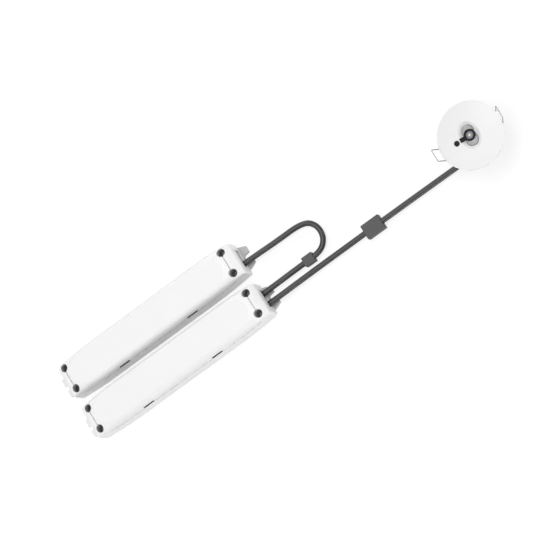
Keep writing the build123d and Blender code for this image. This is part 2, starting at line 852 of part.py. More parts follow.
def make_button():
    """Round push button: crowned cap, stem and a collar trapped behind the trim."""
    top = crown_height(button_from_axis) + button_proud
    guide_low = crown_height(button_from_axis) - trim_shell - 0.02
    collar_top = guide_low - button_seat_gap
    switch_top = plate_top + pad_thickness + board_thickness + switch_height + 0.5
    stem_low = switch_top + button_travel + 0.1
    cap = rod(button_diameter, top - collar_top, -button_from_axis, 0, collar_top)
    cap = fillet(cap.edges().sort_by(Axis.Z)[-1], radius=0.8)
    cap += rod(button_diameter + 2.0, button_collar, -button_from_axis, 0, collar_top - button_collar)
    return cap + rod(3.4, collar_top - stem_low, -button_from_axis, 0, stem_low)


def clip_sides(maker):
    """The same form on the high side and, turned half a turn, on the low side."""
    shape = maker()
    return shape, Rot(0, 0, 180) * shape


def make_heat_sink():
    """Die-cast body: plate, hub, radial fins, pockets for the clips and lugs for their pins."""
    plate_low = plate_top - plate_thickness
    sink = rod(collar_diameter - 1.0, plate_thickness, 0, 0, plate_low)
    sink += rod(hub_diameter, plate_top - fin_bottom, 0, 0, fin_bottom)
    fin_length = (fin_diameter - hub_diameter) / 2 + 1.0
    fin = block(fin_length, fin_thickness, plate_low - fin_bottom, 0, 0, fin_bottom)
    fin = chamfer(fin.edges().filter_by(Axis.Y).sort_by(Axis.X)[-2:].sort_by(Axis.Z)[0], 3.0)
    fin_x = fin_diameter / 2 - fin_length / 2
    for i in range(fin_count):
        sink += Rot(0, 0, 360 / fin_count * (i + 0.5)) * Pos(fin_x, 0, 0) * fin
    depth = fin_diameter / 2 - clip_pocket_from_axis + 2
    pocket_x = clip_pocket_from_axis + depth / 2
    for turn in (0, 180):
        pocket = block(depth, clip_pocket_width, plate_low + 1.2 - fin_bottom + 1, pocket_x, 0, fin_bottom - 1)
        sink -= Rot(0, 0, turn) * pocket
        for side in (-1, 1):
            lug_y = side * (clip_half_width + wire_diameter / 2 + lug_gap + lug_thickness / 2)
            lug = block(13.0, lug_thickness, plate_top - pin_height + 3.4, pin_from_axis - 3.5, lug_y, pin_height - 3.4)
            sink += Rot(0, 0, turn) * lug
        pin_hole = rod_along_y(pin_diameter, 40.0, pin_from_axis, -20.0, pin_height)
        sink -= Rot(0, 0, turn) * pin_hole
    for x, y in head_board_screw_places():
        sink -= rod(board_screw_diameter + 2 * screw_clearance, 6.0, x, y, plate_top - 6.0)
    for x, y in boss_places():
        sink -= rod(trim_screw_diameter + 2 * screw_clearance, 6.0, x, y, plate_low)
    for x in (-cap_screw_circle / 2, cap_screw_circle / 2):
        sink -= rod(trim_screw_diameter + 2 * screw_clearance, 8.0, x, 0, fin_bottom)
    return sink


def make_trim_screws():
    screws = []
    plate_low = plate_top - plate_thickness
    for x, y in boss_places():
        head = rod(trim_screw_head, trim_screw_head_height, x, y, plate_low - trim_screw_head_height)
        screws.append(head + rod(trim_screw_diameter, trim_screw_length, x, y, plate_low))
    return group(screws)


def make_gasket():
    outer = collar_diameter + 1.2 + 2 * gasket_width
    ring = rod(outer, gasket_thickness, 0, 0, trim_height - trim_edge - gasket_thickness)
    return ring - rod(collar_diameter + 1.2, 20.0, 0, 0, trim_height - 10.0)


def make_pins():
    length = 2 * (clip_half_width + wire_diameter / 2 + lug_gap + lug_thickness)
    pin = rod_along_y(pin_diameter, length, pin_from_axis, -length / 2, pin_height)
    return group([pin, Rot(0, 0, 180) * pin])


def make_clip():
    """Wire bail on the high side: coils on the pin, arms out past the rim, and a bar across the tip."""
    coil_radius = pin_diameter / 2 + pin_gap + wire_diameter / 2
    elbow_x = elbow_reach - pin_from_axis
    elbow_z = elbow_height - pin_height
    reach = math.hypot(elbow_x, elbow_z)
    leave = math.atan2(elbow_z, elbow_x) - math.acos(coil_radius / reach)
    start_x = pin_from_axis + coil_radius * math.cos(leave)
    start_z = pin_height + coil_radius * math.sin(leave)
    half = clip_half_width
    with BuildPart() as wire:
        with BuildLine() as path:
            FilletPolyline(
                (start_x, -half, start_z),
                (elbow_reach, -half, elbow_height),
                (tip_reach, -half, tip_height),
                (tip_reach, half, tip_height),
                (elbow_reach, half, elbow_height),
                (start_x, half, start_z),
                radius=[elbow_radius, tip_radius, tip_radius, elbow_radius],
            )
        with BuildSketch(Plane(origin=path.line @ 0, z_dir=path.line % 0)):
            Circle(wire_diameter / 2)
        sweep()
    clip = wire.part
    for side in (-1, 1):
        for i in range(coil_turns):
            y = side * (half - i * coil_pitch)
            ring = Torus(coil_radius, wire_diameter / 2)
            clip += Pos(pin_from_axis, y, pin_height) * Rot(90, 0, 0) * ring
    return clip


def make_cap():
    """Rear cap: round cup with two screw pillars and a flat boss where the cable comes in."""
    cap = rod(cap_diameter, fin_bottom)
    cap = fillet(cap.edges().sort_by(Axis.Z)[0], radius=1.5)
    boss_x = -cap_diameter / 2 + 4.5
    cap += block(8.0, gland_flange + 1.0, fin_bottom - 0.6, boss_x, gland_offset, 0)
    cap -= rod(cap_diameter - 2 * cap_wall, fin_bottom, 0, 0, cap_wall)
    for x in (-cap_screw_circle / 2, cap_screw_circle / 2):
        cap += rod(6.4, fin_bottom - cap_wall, x, 0, cap_wall)
        cap -= rod(trim_screw_diameter + 2 * screw_clearance, fin_bottom, x, 0, 0)
        cap -= rod(4.8, 2.0, x, 0, 0)
    bore = cable_diameter + 2 * cable_gap + 2 * gland_bore_wall
    return cap - rod_along_x(bore, 16.0, -cap_diameter / 2 - 5.0, gland_offset, gland_height)


def make_cap_screws():
    screws = []
    for x in (-cap_screw_circle / 2, cap_screw_circle / 2):
        screw = rod(4.4, 1.6, x, 0, 0.4) + rod(trim_screw_diameter, 14.0, x, 0, 2.0)
        screws.append(screw - cross_recess(2.8, -1.0, x, 0, 0.4))
    return group(screws)


def make_gland():
    bore = cable_diameter + 2 * cable_gap
    outer_x = -cap_diameter / 2 - 1.0
    sleeve = rod_along_x(bore + 2 * gland_bore_wall, gland_length, outer_x, gland_offset, gland_height)
    sleeve += rod_along_x(gland_flange, 1.5, outer_x - 1.0, gland_offset, gland_height)
    return sleeve - rod_along_x(bore, 30.0, outer_x - 10.0, gland_offset, gland_height)


def make_head_terminals():
    strip = block(13.0, 10.0, 7.0, 1.5, gland_offset, cap_wall)
    for i in (-1, 0, 1):
        strip -= rod(2.4, 3.0, 1.5 + i * 4.0, gland_offset, cap_wall + 4.0)
    return strip


# Inline connectors, lying on the ground


def connector_half(size, top):
    """One half of a connector's shell, split through the cable's axis."""
    length, width, height = size
    shell = Box(length, width, height, align=low)
    shell = fillet(shell.edges(), radius=connector_rounding)
    room = (length - 2 * connector_socket, width - 2 * connector_wall, height - 2 * connector_wall)
    shell -= block(*room, 0, 0, connector_wall)
    bore = cable_diameter + 2 * cable_gap
    shell -= rod_along_x(bore, length + 2, -length / 2 - 1, 0, height / 2)
    keep = block(length, width, height / 2, 0, 0, height / 2 if top else 0)
    return shell & keep


def make_contacts(size):
    """Brass pins side by side between the two cable ends."""
    length = size[0] - 2 * connector_socket - 2 * contact_gap
    made = []
    for i in (-1, 0, 1):
        made.append(rod_along_x(1.6, length, -length / 2, i * core_pitch, size[2] / 2))
    return group(made)


# Cables, as straight runs joined by tangent arcs


def make_cable(name, points):
    """Round sheath along the points, with each arc as large as its two runs allow."""
    corners = [Vector(*point) for point in points]
    radii = []
    for before, here, after in zip(corners, corners[1:], corners[2:]):
        turn = math.radians((here - before).get_angle(after - here))
        shorter = min((here - before).length, (after - here).length)
        radii.append(0.45 * shorter / math.tan(turn / 2))
    with BuildPart() as cable:
        with BuildLine() as path:
            FilletPolyline(*points, radius=radii)
        with BuildSketch(Plane(origin=path.line @ 0, z_dir=path.line % 0)):
            Circle(cable_radius)
        sweep()
    length = sum(edge.length for edge in path.edges())
    ratio = cable.part.volume / (math.pi * cable_radius**2 * length)
    print(name, "length", round(length, 1), "radii", [round(r, 1) for r in radii], "volume", round(ratio, 4))
    return cable.part


link_x = box_x + link_connector_offset[0]
link_y = battery_y + link_connector_offset[1]
link_z = link_connector_size[2] / 2
joint_x = box_x + head_connector_offset[0]
joint_y = battery_y + head_connector_offset[1]
joint_z = head_connector_size[2] / 2
ground = cable_radius + 0.1
gear_exit_y = gear_y - entry_pitch / 2
link_exit_y = battery_y + entry_pitch / 2
head_exit_y = battery_y - entry_pitch / 2
bend_x = link_x + 9.2
bend_radius = (gear_exit_y - link_y) / 2
bend_y = (gear_exit_y + link_y) / 2
bend_corner = bend_radius * math.tan(math.radians(22.5))
sheath_start = entry_x - sheath_inside
link_plug_high = link_x + link_connector_size[0] / 2 - connector_socket
link_plug_low = link_x - link_connector_size[0] / 2 + connector_socket
joint_low = joint_x - head_connector_size[0] / 2 + connector_socket
joint_high = joint_x + head_connector_size[0] / 2 - connector_socket
cable_stop = -cap_diameter / 2 + 9.5


def head_place(x, y):
    """A place on the head, which lies turned a little."""
    return head_x + x * turn_cos - y * turn_sin, head_y + x * turn_sin + y * turn_cos


link_cable_gear_route = [
    (sheath_start, gear_exit_y, entry_height),
    (entry_x + 10.0, gear_exit_y, entry_height),
    (entry_x + 48.0, gear_exit_y, ground),
    (bend_x + bend_corner, gear_exit_y, ground + 0.1),
    (bend_x + bend_radius, bend_y + bend_corner, ground),
    (bend_x + bend_radius, bend_y - bend_corner, ground),
    (bend_x + bend_corner, link_y, link_z - 0.6),
    (link_plug_high, link_y, link_z),
]
link_cable_battery_route = [
    (link_plug_low, link_y, link_z),
    (entry_x + 46.0, link_y + 0.2, ground + 0.4),
    (entry_x + 14.0, link_exit_y, entry_height),
    (sheath_start, link_exit_y, entry_height),
]
head_cable_battery_route = [
    (sheath_start, head_exit_y, entry_height),
    (entry_x + 12.0, head_exit_y, entry_height),
    (entry_x + 64.0, joint_y + 0.2, ground),
    (joint_low, joint_y, joint_z),
]
head_cable_head_route = [
    (joint_high, joint_y, joint_z),
    (joint_x + 52.0, joint_y + 0.2, ground),
    (head_x + cable_stop - 34.0, joint_y - 0.3, ground + 0.1),
    (*head_place(cable_stop - 12.0, gland_offset), gland_height),
    (*head_place(cable_stop, gland_offset), gland_height),
]


# Pieces written out

board_high_x = body_length / 2 - terminal_face_from_end
spreader_y = board_width / 2 - 3.5
gear_posts = []
battery_posts = []
for side_y in (-board_width / 2 + post_inset - 2.5, board_width / 2 - post_inset + 2.5):
    gear_posts.append((board_high_x - gear_board_length + post_inset, side_y))
    gear_posts.append((board_high_x - terminal_depth - post_inset, side_y))
    battery_posts.append((board_high_x - terminal_depth - 4.0, side_y))

save("gear_base", make_base(gear_posts), box_x, gear_y)
save("battery_base", make_base(battery_posts), box_x, battery_y)
lid = make_cover()
save("gear_cover", lid, box_x, gear_y)
save("battery_cover", lid, box_x, battery_y)
save("gear_cover_screws", make_cover_screws(), box_x, gear_y)
save("battery_cover_screws", make_cover_screws(), box_x, battery_y)
save("gear_cable_clamp", make_cable_clamp(), box_x, gear_y)
save("battery_cable_clamp", make_cable_clamp(), box_x, battery_y)
save("gear_clamp_screw", make_clamp_screw(), box_x, gear_y)
save("battery_clamp_screw", make_clamp_screw(), box_x, battery_y)
save("gear_board", make_board(gear_board_length, board_high_x, gear_posts), box_x, gear_y)
save("gear_board_screws", make_board_screws(gear_posts), box_x, gear_y)
save("gear_transformer", make_transformer(along_board(0.36)), box_x, gear_y)
save("gear_choke", make_choke(along_board(0.205), 0.0), box_x, gear_y)
cans_y = -0.29 * board_width
film_y = -0.355 * board_width
save("gear_capacitors", make_capacitors(along_board(0.525), cans_y, along_board(0.215), film_y), box_x, gear_y)
save("gear_heat_spreader", make_spreader(along_board(0.644), spreader_y), box_x, gear_y)
save("gear_power_devices", make_power_devices(along_board(0.644), spreader_y), box_x, gear_y)
save("gear_fuse", make_fuse(along_board(0.79), -10.0), box_x, gear_y)
save("mains_terminals", make_terminals(1), box_x, gear_y)
save("link_terminals", make_terminals(-1), box_x, gear_y)
save("gear_wires", make_cores([-1]), box_x, gear_y)

save("battery_cells", make_cells(), box_x, battery_y)
save("cell_tags", make_cell_tags(), box_x, battery_y)
save("cell_straps", make_straps(), box_x, battery_y)
save("battery_cradle", make_cradle(), box_x, battery_y)
save("battery_board", make_board(battery_board_length, board_high_x, battery_posts), box_x, battery_y)
save("battery_board_screws", make_board_screws(battery_posts), box_x, battery_y)
save("battery_terminals", group([make_terminals(1), make_terminals(-1)]), box_x, battery_y)
save("battery_wires", make_cores([-1, 1]), box_x, battery_y)

save("link_connector_top", connector_half(link_connector_size, True), link_x, link_y)
save("link_connector_bottom", connector_half(link_connector_size, False), link_x, link_y)
save("link_connector_contacts", make_contacts(link_connector_size), link_x, link_y)
save("head_connector_top", connector_half(head_connector_size, True), joint_x, joint_y)
save("head_connector_bottom", connector_half(head_connector_size, False), joint_x, joint_y)
save("head_connector_contacts", make_contacts(head_connector_size), joint_x, joint_y)
save("link_cable_gear_end", make_cable("link cable, gear end", link_cable_gear_route))
save("link_cable_battery_end", make_cable("link cable, battery end", link_cable_battery_route))
save("head_cable_battery_end", make_cable("head cable, battery end", head_cable_battery_route))
save("head_cable_head_end", make_cable("head cable, head end", head_cable_head_route))

right_clip, left_clip = clip_sides(make_clip)
save_head("right_spring_clip", right_clip)
save_head("left_spring_clip", left_clip)
save_head("clip_pins", make_pins())
save_head("trim_bezel", make_trim())
save_head("beam_lens", make_lens())
save_head("lens_retainer", make_retainer())
save_head("led_emitter", make_led())
save_head("led_board", make_head_board())
save_head("thermal_pad", make_thermal_pad())
save_head("led_board_screws", make_head_board_screws())
save_head("test_switch", make_switch())
save_head("test_button", make_button())
save_head("heat_sink", make_heat_sink())
save_head("trim_screws", make_trim_screws())
save_head("ceiling_gasket", make_gasket())
save_head("rear_cap", make_cap())
save_head("rear_cap_screws", make_cap_screws())
save_head("head_gland", make_gland())
save_head("head_terminals", make_head_terminals())
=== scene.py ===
import json
import math

import bpy
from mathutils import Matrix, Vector


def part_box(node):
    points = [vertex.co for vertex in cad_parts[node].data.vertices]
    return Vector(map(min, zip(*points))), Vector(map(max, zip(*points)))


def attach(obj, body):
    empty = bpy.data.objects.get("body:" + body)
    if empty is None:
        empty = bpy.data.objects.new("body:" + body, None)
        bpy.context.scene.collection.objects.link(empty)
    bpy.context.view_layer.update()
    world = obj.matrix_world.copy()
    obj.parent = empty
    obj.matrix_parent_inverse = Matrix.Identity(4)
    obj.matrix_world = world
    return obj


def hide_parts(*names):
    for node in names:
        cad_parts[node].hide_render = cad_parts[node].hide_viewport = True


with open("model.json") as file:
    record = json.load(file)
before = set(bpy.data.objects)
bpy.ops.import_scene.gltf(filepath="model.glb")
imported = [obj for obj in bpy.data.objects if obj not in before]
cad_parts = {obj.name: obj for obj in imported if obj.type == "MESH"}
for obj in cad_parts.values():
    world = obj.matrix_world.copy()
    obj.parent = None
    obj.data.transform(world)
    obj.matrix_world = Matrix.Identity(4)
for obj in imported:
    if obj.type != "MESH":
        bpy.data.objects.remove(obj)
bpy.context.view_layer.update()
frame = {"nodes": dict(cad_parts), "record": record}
nodes = frame["nodes"]
print("frame loaded,", len(nodes), "nodes")


cameraSet = {
    "place": (0.86915, -0.94791, 3.26178),
    "turn": (5.12528, 21.3337, -33.12999),
    "lens": 190.19,
    "sensor": 36,
    "farthest": 20,
}


def addCamera(look):
    turn = [math.radians(angle) for angle in look["turn"]]
    bpy.ops.object.camera_add(location=look["place"], rotation=turn)
    camera = bpy.context.object
    camera.name = "photoCamera"
    camera.data.sensor_width = look["sensor"]
    camera.data.lens = look["lens"]
    camera.data.clip_end = look["farthest"]
    bpy.context.scene.camera = camera


addCamera(cameraSet)
print("camera set")


# Small helpers


class Wire:
    # One socket of a material, with sums written as Python expressions
    def __init__(self, tree, socket=None):
        self.tree = tree
        self.socket = socket

    def node(self, kind, settings, sockets, output=0):
        made = self.tree.nodes.new(kind)
        for name, value in settings.items():
            setattr(made, name, value)
        for name, value in sockets.items():
            if isinstance(value, Wire):
                self.tree.links.new(value.socket, made.inputs[name])
            else:
                made.inputs[name].default_value = value
        return Wire(self.tree, made.outputs[output])

    def maths(self, operation, first, second=0.0):
        return self.node("ShaderNodeMath", {"operation": operation}, {0: first, 1: second})

    def __add__(self, other):
        return self.maths("ADD", self, other)

    def __radd__(self, other):
        return self.maths("ADD", other, self)

    def __sub__(self, other):
        return self.maths("SUBTRACT", self, other)

    def __rsub__(self, other):
        return self.maths("SUBTRACT", other, self)

    def __mul__(self, other):
        return self.maths("MULTIPLY", self, other)

    def __rmul__(self, other):
        return self.maths("MULTIPLY", other, self)

    def __truediv__(self, other):
        return self.maths("DIVIDE", self, other)

    def __pow__(self, other):
        return self.maths("POWER", self, other)


def newMaterial(name):
    material = bpy.data.materials.new(name)
    material.use_nodes = True
    tree = material.node_tree
    shader = tree.nodes["Principled BSDF"]
    return material, Wire(tree), shader


def feed(wire, shader, sockets):
    for name, value in sockets.items():
        if isinstance(value, Wire):
            wire.tree.links.new(value.socket, shader.inputs[name])
        else:
            shader.inputs[name].default_value = value


def objectPlace(wire):
    return wire.node("ShaderNodeTexCoord", {}, {}, "Object")


def noise(wire, place, scale, detail=2.0):
    return wire.node("ShaderNodeTexNoise", {}, {"Vector": place, "Scale": scale, "Detail": detail})


def blend(wire, factor, first, second):
    # Each end is a socket or a colour of three numbers
    ends = [(*end, 1) if isinstance(end, tuple) else end for end in (first, second)]
    return wire.node("ShaderNodeMix", {"data_type": "RGBA"}, {0: factor, 6: ends[0], 7: ends[1]}, 2)


def relief(wire, height, strength, depth):
    return wire.node("ShaderNodeBump", {}, {"Strength": strength, "Distance": depth, "Height": height})


def axes(wire, place):
    parts = wire.node("ShaderNodeSeparateXYZ", {}, {"Vector": place})
    outputs = parts.socket.node.outputs
    return [Wire(wire.tree, outputs[i]) for i in range(3)]


def ramp(wire, value, low, high):
    # 0 below low, 1 above high, smooth between
    return wire.node("ShaderNodeMapRange", {"interpolation_type": "SMOOTHSTEP"}, {
        "Value": value, "From Min": low, "From Max": high,
    })


def magnitude(value):
    return value.maths("ABSOLUTE", value)


def radius(along, across):
    return (along * along + across * across) ** 0.5


def seenByEye(wire):
    # 1 for what the camera sees, straight or by way of metal and glass
    camera, glossy, through = [
        wire.node("ShaderNodeLightPath", {}, {}, f"Is {kind} Ray")
        for kind in ("Camera", "Glossy", "Transmission")
    ]
    return wire.maths("MAXIMUM", camera, wire.maths("MAXIMUM", glossy, through))


# Cords: each follows the route of its cable, in metres

cordSet = {"diameter": 0.0074, "ring": 6, "steps": 16}
cordRoutes = {
    "linkCableGearEnd": [
        (-0.073737, 0.028775, 0.009),
        (-0.035737, 0.028775, 0.009),
        (0.002263, 0.028775, 0.0038),
        (0.045068, 0.028775, 0.0039),
        (0.058088, 0.015756, 0.0038),
        (0.058088, -0.002656, 0.0038),
        (0.045068, -0.015675, 0.0043),
        (0.030263, -0.015675, 0.0049),
    ],
    "linkCableBatteryEnd": [
        (0.023063, -0.015675, 0.0049),
        (0.000263, -0.015475, 0.0042),
        (-0.031737, -0.017475, 0.009),
        (-0.073737, -0.017475, 0.009),
    ],
    "headCableBatteryEnd": [
        (-0.073737, -0.032475, 0.009),
        (-0.033737, -0.032475, 0.009),
        (0.018263, -0.030375, 0.0038),
        (0.108713, -0.030575, 0.00475),
    ],
    "headCableHeadEnd": [
        (0.127213, -0.030575, 0.00475),
        (0.169963, -0.030375, 0.0038),
        (0.238563, -0.030875, 0.0039),
        (0.260171, -0.031505, 0.005),
        (0.272165, -0.031882, 0.005),
    ],
}


def addCord(name, replaced):
    points = cordRoutes[name]
    bpy.ops.curve.primitive_nurbs_path_add(location=(0, 0, 0))
    cord = bpy.context.object
    cord.name = name
    cord.data.splines.clear()
    spline = cord.data.splines.new("NURBS")
    spline.points.add(len(points) - 1)
    for point, place in zip(spline.points, points):
        point.co = (*place, 1)
        point.radius = cordSet["diameter"] / 2  # in metres, because the curve's bounds take it in
    spline.order_u = 3
    spline.use_endpoint_u = True
    spline.resolution_u = cordSet["steps"]
    cord.data.bevel_depth = 1.0  # the points' radius sets the thickness
    cord.data.bevel_resolution = cordSet["ring"]
    cord.data.use_fill_caps = True
    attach(cord, "kit")
    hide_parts(replaced)
    return cord


linkGearCord = addCord("linkCableGearEnd", "link_cable_gear_end")
linkBatteryCord = addCord("linkCableBatteryEnd", "link_cable_battery_end")
headBatteryCord = addCord("headCableBatteryEnd", "head_cable_battery_end")
headHeadCord = addCord("headCableHeadEnd", "head_cable_head_end")
print("cords laid")

# Finishes

mouldedSet = {
    "colour": (0.88, 0.88, 0.878), "faded": (0.855, 0.855, 0.852),
    "rough": 0.42, "grain": 1400, "depth": 0.00004,
}
trimSet = {
    "colour": (0.82, 0.82, 0.818), "faded": (0.8, 0.8, 0.797),
    "rough": 0.34, "grain": 2600, "depth": 0.00002,
}
sheathSet = {
    "colour": (0.011, 0.011, 0.012), "faded": (0.017, 0.017, 0.018),
    "rough": 0.28, "gloss": 0.5, "grain": 900, "depth": 0.00002,
}
connectorSet = {
    "colour": (0.058, 0.058, 0.06), "faded": (0.07, 0.07, 0.07),
    "rough": 0.5, "gloss": 0.4, "grain": 1800, "depth": 0.00006,
}
blackSet = {
    "colour": (0.005, 0.005, 0.006), "faded": (0.009, 0.009, 0.01),
    "rough": 0.55, "gloss": 0.15, "grain": 2600, "depth": 0.00002,
}
innerSet = {
    "colour": (0.5, 0.5, 0.48), "faded": (0.45, 0.45, 0.44),
    "rough": 0.5, "grain": 1400, "depth": 0.00004,
}
boardSet = {
    "colour": (0.012, 0.11, 0.035), "faded": (0.02, 0.15, 0.05),
    "rough": 0.3, "grain": 500, "depth": 0.00003,
}
whiteBoardSet = {
    "colour": (0.6, 0.61, 0.62), "faded": (0.55, 0.56, 0.58),
    "rough": 0.35, "grain": 900, "depth": 0.00002,
}
sleeveSet = {
    "colour": (0.01, 0.012, 0.03), "faded": (0.016, 0.018, 0.04),
    "rough": 0.28, "grain": 300, "depth": 0.00006,
}
cellSet = {
    "colour": (0.02, 0.13, 0.33), "faded": (0.03, 0.16, 0.38),
    "rough": 0.3, "grain": 260, "depth": 0.00008,
}
coreSet = {
    "colour": (0.35, 0.03, 0.025), "faded": (0.4, 0.05, 0.04),
    "rough": 0.4, "grain": 1200, "depth": 0.00003,
}
ferriteSet = {
    "colour": (0.03, 0.03, 0.032), "faded": (0.05, 0.05, 0.052),
    "rough": 0.75, "grain": 1600, "depth": 0.00012,
}
padSet = {
    "colour": (0.3, 0.31, 0.33), "faded": (0.26, 0.27, 0.29),
    "rough": 0.8, "grain": 1500, "depth": 0.00008,
}
foamSet = {
    "colour": (0.02, 0.02, 0.02), "faded": (0.05, 0.05, 0.05),
    "rough": 0.95, "grain": 1900, "depth": 0.0003,
}
glandSet = {
    "colour": (0.012, 0.012, 0.012), "faded": (0.022, 0.022, 0.022),
    "rough": 0.7, "grain": 1100, "depth": 0.00005,
}
phosphorSet = {
    "colour": (0.85, 0.62, 0.16), "faded": (0.8, 0.56, 0.12),
    "rough": 0.3, "grain": 2600, "depth": 0.00002,
}
cloudSet = {"scale": 22.0, "speckDetail": 3.0, "roughByCloud": 0.12, "roughBySpeck": 0.05, "strength": 0.5}


def clouded(wire, place, look):
    # Slow colour drift and fine grain, as moulded and painted surfaces have
    cloud = noise(wire, place, cloudSet["scale"])
    speck = noise(wire, place, look["grain"], cloudSet["speckDetail"])
    colour = blend(wire, cloud, look["colour"], look["faded"])
    rough = look["rough"] + cloudSet["roughByCloud"] * (cloud - 0.5)
    rough = rough + cloudSet["roughBySpeck"] * (speck - 0.5)
    return colour, rough, relief(wire, speck, cloudSet["strength"], look["depth"])


def mouldedPlastic(name, look):
    material, wire, shader = newMaterial(name)
    colour, rough, grain = clouded(wire, objectPlace(wire), look)
    shader.inputs["Specular IOR Level"].default_value = look.get("gloss", 0.5)
    feed(wire, shader, {"Base Color": colour, "Roughness": rough, "Normal": grain})
    return material


wellShadeSet = {
    "fromLow": 0.011, "fromHigh": 0.0126, "across": 0.01525, "radius": 0.0055, "soft": 0.0001,
    "rim": 0.031, "bottom": 0.016, "least": 0.25, "dark": (0.22, 0.22, 0.22),
}


def paintedWellShade(wire, x, y, z, box):
    # Painted shade in the four wells, darker towards their bottoms
    low, high = box
    toLow = magnitude(x - (low[0] + wellShadeSet["fromLow"]))
    toHigh = magnitude(x - (high[0] - wellShadeSet["fromHigh"]))
    along = toLow.maths("MINIMUM", toLow, toHigh)
    across = magnitude(y - (low[1] + high[1]) / 2) - wellShadeSet["across"]
    inside = 1 - ramp(wire, radius(along, across), wellShadeSet["radius"] - wellShadeSet["soft"], wellShadeSet["radius"])
    deep = 1 - ramp(wire, z, wellShadeSet["bottom"], wellShadeSet["rim"])
    return inside * (wellShadeSet["least"] + (1 - wellShadeSet["least"]) * deep)


seamSet = {
    "height": 0.0225, "groove": 0.0011, "soft": 0.0002, "side": 0.0238, "sideSoft": 0.0005,
    "grain": 420, "dotLow": 0.42, "dotHigh": 0.6, "least": 0.1, "byDots": 0.6,
    "tongue": 0.0002, "dark": (0.03, 0.03, 0.03),
}


def partingSeam(wire, place, y, z, box):
    # A broken dark line where cover and base meet, along the two long sides
    low, high = box
    dots = ramp(wire, noise(wire, place, seamSet["grain"]), seamSet["dotLow"], seamSet["dotHigh"])
    fromSeam = magnitude(z - seamSet["height"])
    edge = 1 - ramp(wire, fromSeam, seamSet["groove"] - seamSet["soft"], seamSet["groove"])
    fromMiddle = magnitude(y - (low[1] + high[1]) / 2)
    edge = edge * ramp(wire, fromMiddle, seamSet["side"], seamSet["side"] + seamSet["sideSoft"])
    return edge * (seamSet["least"] + seamSet["byDots"] * dots)


slotShadeSet = {
    "low": -0.05824, "high": 0.05224, "half": 0.00795, "floor": 0.02305, "roof": 0.02675,
    "soft": 0.0001, "dark": (0.03, 0.03, 0.03),
}


def paintedSlotShade(wire, x, z, box):
    # Painted shade in the snap slots above the parting line
    low, high = box
    soft = slotShadeSet["soft"]
    fromMiddle = x - (low[0] + high[0]) / 2
    slot = magnitude(fromMiddle - slotShadeSet["low"])
    slot = slot.maths("MINIMUM", slot, magnitude(fromMiddle - slotShadeSet["high"]))
    inside = 1 - ramp(wire, slot, slotShadeSet["half"], slotShadeSet["half"] + soft)
    inside = inside * ramp(wire, z, slotShadeSet["floor"] - soft, slotShadeSet["floor"])
    return inside * (1 - ramp(wire, z, slotShadeSet["roof"], slotShadeSet["roof"] + soft))


tabShadeSet = {"start": 0.1396, "soft": 0.0002, "shade": (0.4, 0.4, 0.4), "atHigh": 0.85, "atLow": 0.2}


def paintedTabShade(wire, x, box):
    # Painted shade makes the forked tabs greyer than the boxes, most of all at the cable end
    low, high = box
    middle = (low[0] + high[0]) / 2
    highTab = ramp(wire, x, middle + tabShadeSet["start"], middle + tabShadeSet["start"] + tabShadeSet["soft"])
    lowTab = 1 - ramp(wire, x, middle - tabShadeSet["start"] - tabShadeSet["soft"], middle - tabShadeSet["start"])
    return highTab * tabShadeSet["atHigh"] + lowTab * tabShadeSet["atLow"]


def boxMoulding(name, look, coverNode, isBase):
    # Satin white moulding, with painted shade in the wells, snap slots, tongue and tabs; every mask is
    # placed from the cover's box
    material, wire, shader = newMaterial(name)
    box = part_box(coverNode)
    place = objectPlace(wire)
    x, y, z = axes(wire, place)
    colour, rough, grain = clouded(wire, place, look)
    colour = blend(wire, paintedWellShade(wire, x, y, z, box), colour, wellShadeSet["dark"])
    colour = blend(wire, partingSeam(wire, place, y, z, box), colour, seamSet["dark"])
    if isBase:
        colour = blend(wire, paintedTabShade(wire, x, box), colour, tabShadeSet["shade"])
        # Painted shade on the base's tongue above the parting line, inside the cover
        tongue = seamSet["height"] + seamSet["tongue"]
        colour = blend(wire, ramp(wire, z, tongue, tongue + seamSet["tongue"]), colour, seamSet["dark"])
    else:
        colour = blend(wire, paintedSlotShade(wire, x, z, box), colour, slotShadeSet["dark"])
    feed(wire, shader, {"Base Color": colour, "Roughness": rough, "Normal": grain})
    return material


dishShadeSet = {"along": 0.0135, "across": 0.0191, "soft": 0.03, "deep": (0.75, 0.75, 0.747)}


def headMiddle():
    low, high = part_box("trim_bezel")
    return (low[0] + high[0]) / 2, (low[1] + high[1]) / 2


def dishedTrim(name, look, shade):
    # Gloss white paint, with painted shade inside the oval dish round the lens
    headX, headY = headMiddle()
    material, wire, shader = newMaterial(name)
    place = objectPlace(wire)
    colour, rough, grain = clouded(wire, place, look)
    x, y = axes(wire, place)[:2]
    oval = radius((x - headX) / shade["along"], (y - headY) / shade["across"])
    inside = 1 - ramp(wire, oval, 1 - shade["soft"], 1 + shade["soft"] / 2)
    colour = blend(wire, inside, colour, shade["deep"])
    feed(wire, shader, {"Base Color": colour, "Roughness": rough, "Normal": grain})
    return material


metalSet = {
    "lines": 600.0, "lineDetail": 4.0, "cloud": 60.0, "dull": 0.82,
    "roughByLines": 0.16, "roughByCloud": 0.08, "strength": 0.35, "depth": 0.00003,
}


def bareMetal(name, colour, rough, stretch):
    # Fine drawn lines, which run along the axis with the smaller stretch
    material, wire, shader = newMaterial(name)
    place = objectPlace(wire)
    stretched = wire.node("ShaderNodeMapping", {}, {"Vector": place, "Scale": stretch})
    lines = noise(wire, stretched, metalSet["lines"], metalSet["lineDetail"])
    cloud = noise(wire, place, metalSet["cloud"])
    dull = tuple(part * metalSet["dull"] for part in colour)
    shader.inputs["Metallic"].default_value = 1.0
    rough = rough + metalSet["roughByLines"] * (lines - 0.5) + metalSet["roughByCloud"] * (cloud - 0.5)
    feed(wire, shader, {
        "Base Color": blend(wire, cloud, colour, dull),
        "Roughness": rough,
        "Normal": relief(wire, lines, metalSet["strength"], metalSet["depth"]),
    })
    return material


